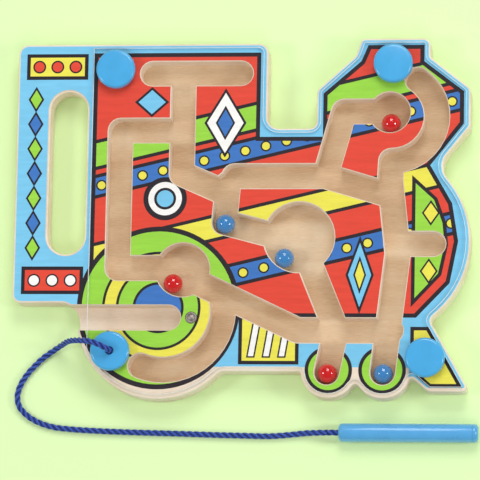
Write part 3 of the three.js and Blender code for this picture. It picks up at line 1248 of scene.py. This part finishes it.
@dataclass
class TwistedCord:
    """A laid cord: three strands of yarn wound round each other, the right-handed way."""

    diameter: float = 4.0 * MM
    strands: int = 3
    fullness: float = 1.08
    pitch: float = 13.5 * MM
    step: float = 0.6 * MM
    sides: int = 14

    def mesh(self, name: str, line: Sequence[Vector]) -> Shape:
        """Winds the strands round a line.

        Args:
            name: The new object's name.
            line: Points a step apart.

        Returns:
            The cord, with a map along and around each strand and the height of each point over the middle,
            which the yarn turns into painted shade.
        """
        spread = 1 / math.sin(math.pi / self.strands)
        strand = self.diameter / 2 / (spread + self.fullness)
        guide = list(zip(line, frames(line), distances(line)))
        vertices: list[Vector] = []
        faces: list[Sequence[int]] = []
        maps: list[Loop] = []
        for lane in range(self.strands):
            path = []
            for point, axes, far in guide:
                angle = 2 * math.pi * (far / self.pitch + lane / self.strands)
                path.append(around(point, axes, angle, strand * spread))
            self.tube(path, len(vertices), faces, maps)
            for point, axes in zip(path, frames(path)):
                turns = (2 * math.pi * k / self.sides for k in range(self.sides))
                vertices.extend(around(point, axes, turn, strand * self.fullness) for turn in turns)
        mesh = bpy.data.meshes.new(name)
        mesh.from_pydata(vertices, [], faces)
        layer = mesh.uv_layers.new(name="strand")
        for face, places in zip(mesh.polygons, maps):
            for loop_index, uv in zip(face.loop_indices, places):
                layer.data[loop_index].uv = uv
        # Each point's height over the cord's middle, which the yarn reads for its painted shade in the
        # grooves.
        height = mesh.color_attributes.new(name="height", type="FLOAT_COLOR", domain="POINT")
        for i, vertex in enumerate(vertices):
            middle = line[i // self.sides % len(line)]
            share = min(1.0, (vertex - middle).length / (self.diameter / 2))
            height.data[i].color = (share, share, share, 1.0)
        cord = Shape.made(name, mesh)
        cord.smooth(degrees=60)
        return cord

    def tube(self, path: Sequence[Vector], base: int, faces: list[Sequence[int]], maps: list[Loop]) -> None:
        """Adds the faces of a closed tube round a path to a growing mesh.

        Args:
            path: The tube's middle line.
            base: The number of its first point.
            faces: Takes the new faces.
            maps: Takes each face's corners on the map, along in metres and around from 0 to 1.
        """
        along = distances(path)
        for i, (near, far) in enumerate(zip(along, along[1:])):
            ring = base + i * self.sides
            above = ring + self.sides
            for k in range(self.sides):
                after = (k + 1) % self.sides
                faces.append((ring + k, ring + after, above + after, above + k))
                low, high = k / self.sides, (k + 1) / self.sides
                maps.append([(near, low), (near, high), (far, high), (far, low)])
        last = base + (len(path) - 1) * self.sides
        faces.append(range(base + self.sides - 1, base - 1, -1))
        faces.append(range(last, last + self.sides))
        maps.extend([(place, 0.0)] * self.sides for place in (along[0], along[-1]))


@dataclass
class Cord:
    """The cord from the board to the wand, with its knots."""

    lay: TwistedCord = field(default_factory=TwistedCord)
    exit: Place = (-83.3 * MM, -88.5 * MM, 25.2 * MM)
    bend: Place = (59.3 * MM, -138.8 * MM, 6.0 * MM)
    bend_reach: float = 2.1 * MM
    stub_start: float = 2.2 * MM
    stub_depth: float = 6.2 * MM
    tail_x: float = 64.3 * MM
    wand_knot_length: float = 7.5 * MM
    knot_slim: float = 0.42
    knot_pitch: float = 6.5
    knot_points: int = 150
    route: tuple[Place, ...] = (
        (-83.3, -88.5, 8.1), (-83.3, -88.5, 17), (-83.3, -88.5, 26), (-84.3, -88.0, 30),
        (-87.0, -86.7, 32.9), (-90.6, -85.1, 34), (-94.6, -83.8, 33.4), (-98.3, -83.0, 31),
        (-101.8, -82.4, 28), (-105.4, -81.9, 24.6), (-109.2, -81.6, 20.4), (-112.4, -81.7, 15.6),
        (-115.6, -82.4, 10.4), (-119.4, -83.9, 5.8), (-124.4, -86.7, 2.9), (-130.0, -90.6, 2),
        (-135.6, -96.0, 2), (-140.6, -101.8, 2), (-144.6, -108.6, 2), (-146.4, -115.4, 2),
        (-145.2, -122.0, 2), (-140.6, -127.6, 2), (-133.4, -132.2, 2), (-123.4, -135.6, 2),
        (-110, -137.2, 2), (-92, -138.2, 2), (-68, -139, 2), (-42, -139.6, 2), (-16, -140.3, 2),
        (4, -140.7, 2), (20, -140.9, 2), (33, -139.9, 2.1), (43, -138.9, 2.8), (50, -138.8, 4.6),
        (57.0, -138.8, 6),
    )

    def knot(self, name: str, low: Vector, high: Vector, along_x: bool) -> Shape:
        """Ties a trefoil of cord that fills a box.

        Args:
            name: The new piece's name.
            low: The box's lowest corner.
            high: The box's highest corner.
            along_x: Whether the cord runs along X, or else along Z.

        Returns:
            The knot.
        """
        middle, room = (low + high) / 2, (high - low) / 2
        slim = min(room) * self.knot_slim
        line = []
        for i in range(self.knot_points + 1):
            t = 2 * math.pi * i / self.knot_points
            flat_x = (math.sin(t) + 2 * math.sin(2 * t)) / 3
            flat_y = (math.cos(t) - 2 * math.cos(2 * t)) / 3
            rise = -math.sin(3 * t)
            shape = (rise, flat_x, flat_y) if along_x else (flat_x, flat_y, rise)
            line.append(middle + Vector(tuple(shape[k] * (room[k] - slim) for k in range(3))))
        return TwistedCord(diameter=2 * slim, pitch=self.knot_pitch * slim).mesh(name, line)

    def straight(self, name: str, *places: float) -> Shape:
        """Makes a short straight length of cord, through places along X at the wand's end."""
        points = [(place, *self.bend[1:]) for place in places]
        return self.lay.mesh(name, smooth_route(points, self.lay.step / 2))

    def build(self) -> None:
        """Makes the cord, its last bend, the stub at the wand and the two knots."""
        line = smooth_route([Vector(point) * MM for point in self.route], self.lay.step)
        length = distances(line)[-1]
        log.info("cord is %.4f m long", length)
        cord = self.lay.mesh("cord_laid", line)
        x, tail = self.bend[0], self.tail_x
        bend = self.straight("cord_last_bend", x - self.bend_reach, x, x + self.bend_reach)
        stub = self.straight("wand_cord_stub", x + self.stub_start, tail, tail + self.stub_depth)
        under = self.knot("board_knot_tied", *corners("board_knot"), along_x=False)
        low, high = corners("wand_knot")
        low.x = high.x - self.wand_knot_length
        end_knot = self.knot("wand_knot_tied", low, high, along_x=True)
        yarn = Yarn()
        for piece, node, body in (
            (cord, "cord", "board"),
            (bend, "cord_bend", "cord_end"),
            (stub, "wand_knot", "wand"),
            (end_knot, "wand_knot", "wand"),
            (under, "board_knot", "board"),
        ):
            piece.settle(yarn, "cord_yarn", body, node)


@dataclass(frozen=True)
class Lamp:
    """A soft square lamp: its place in metres, its side, its power in watts, and whether gloss shows it."""

    name: str
    place: Place
    size: float
    power: float
    mirrored: bool = True

    def hang(self) -> None:
        """Hangs the lamp so that it faces the board."""
        data = bpy.data.lights.new(self.name, "AREA")
        data.size = self.size
        data.energy = self.power
        lamp = bpy.data.objects.new(self.name, data)
        lamp.location = self.place
        lamp.rotation_euler = (-Vector(self.place)).to_track_quat("-Z", "Y").to_euler()
        lamp.visible_glossy = self.mirrored
        bpy.context.collection.objects.link(lamp)


@dataclass
class Studio:
    """The floor, the lamps, the world and the camera."""

    towards_camera: Place = (0.12, -0.165, 1.0)
    distance: float = 2.5
    aim: Place = (-0.0005, -0.0152, 0.018)
    focal_px: float = 3862.5
    frame_px: float = 480.0
    sensor_mm: float = 36.0
    farthest: float = 20.0
    room_light: float = 0.48
    room_mirrored: float = 0.14
    white: tuple[float, ...] = (1.0, 1.0, 1.0, 1.0)
    floor_size: float = 6.0
    floor_drop: float = 0.2 * MM
    lamps: tuple[Lamp, ...] = (
        Lamp("back", (0.22, 1.0, 1.35), 0.8, 10.2),
        Lamp("left", (-1.02, -0.18, 1.08), 0.3, 3.9),
        Lamp("right", (1.2, -0.13, 0.8), 0.3, 4.5),
        Lamp("front", (0.25, -1.0, 1.5), 0.6, 3.8, mirrored=False),
    )

    def floor(self) -> None:
        """Lays a wide flat floor just under the part."""
        Shape.clear()
        bpy.ops.mesh.primitive_plane_add(size=self.floor_size, location=(0, 0, -self.floor_drop))
        plane = Shape.added("floor")
        plane.dress(FloorPaint())

    def world(self) -> None:
        """Fills the room with a plain even light, with darker walls for what mirrors them."""
        world = bpy.data.worlds.new("studio")
        bpy.context.scene.world = world
        world.use_nodes = True
        graph = Graph(world.node_tree)
        mirrored = graph.add("LightPath").outputs["Is Glossy Ray"]
        level = graph.add("MapRange", Value=mirrored, To_Min=self.room_light, To_Max=self.room_mirrored)
        graph.feed(graph.tree.nodes["Background"], Color=self.white, Strength=level.outputs["Result"])

    def camera(self) -> None:
        """Sets the camera where the photograph was taken from."""
        data = bpy.data.cameras.new("camera")
        data.sensor_width = self.sensor_mm
        data.lens = self.sensor_mm * self.focal_px / self.frame_px
        data.clip_end = self.farthest
        camera = bpy.data.objects.new("camera", data)
        back = Vector(self.towards_camera).normalized()
        right = (Vector((1, 0, 0)) - back * back.x).normalized()
        turn = Matrix((right, back.cross(right), back)).transposed().to_4x4()
        camera.matrix_world = Matrix.Translation(Vector(self.aim) + back * self.distance) @ turn
        bpy.context.collection.objects.link(camera)
        bpy.context.scene.camera = camera

    def build(self) -> None:
        """Sets up the whole studio."""
        self.floor()
        for lamp in self.lamps:
            lamp.hang()
        self.world()
        self.camera()
        bpy.context.scene.view_settings.view_transform = "Standard"


def main() -> None:
    """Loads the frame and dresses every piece."""
    logging.basicConfig(level=logging.INFO, format="%(name)s: %(message)s")
    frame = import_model()
    nodes = frame["nodes"]
    Studio().build()
    Cord().build()
    Shape(nodes["maze_board"]).dress(BareWood())
    Shape(nodes["wand_magnet"]).dress(Turned("magnet_plating", (150, 152, 156)))
    PrintedFace().build(nodes["maze_board"])
    ClearCover().build(nodes["clear_cover"])
    for assembly in (Caps(), Balls(), Keeper(), Wand()):
        assembly.build()
    for piece in Shape.finished:
        log.info("%s has %d faces", piece.obj.name, len(piece.obj.data.polygons))


if __name__ == "__main__":
    main()
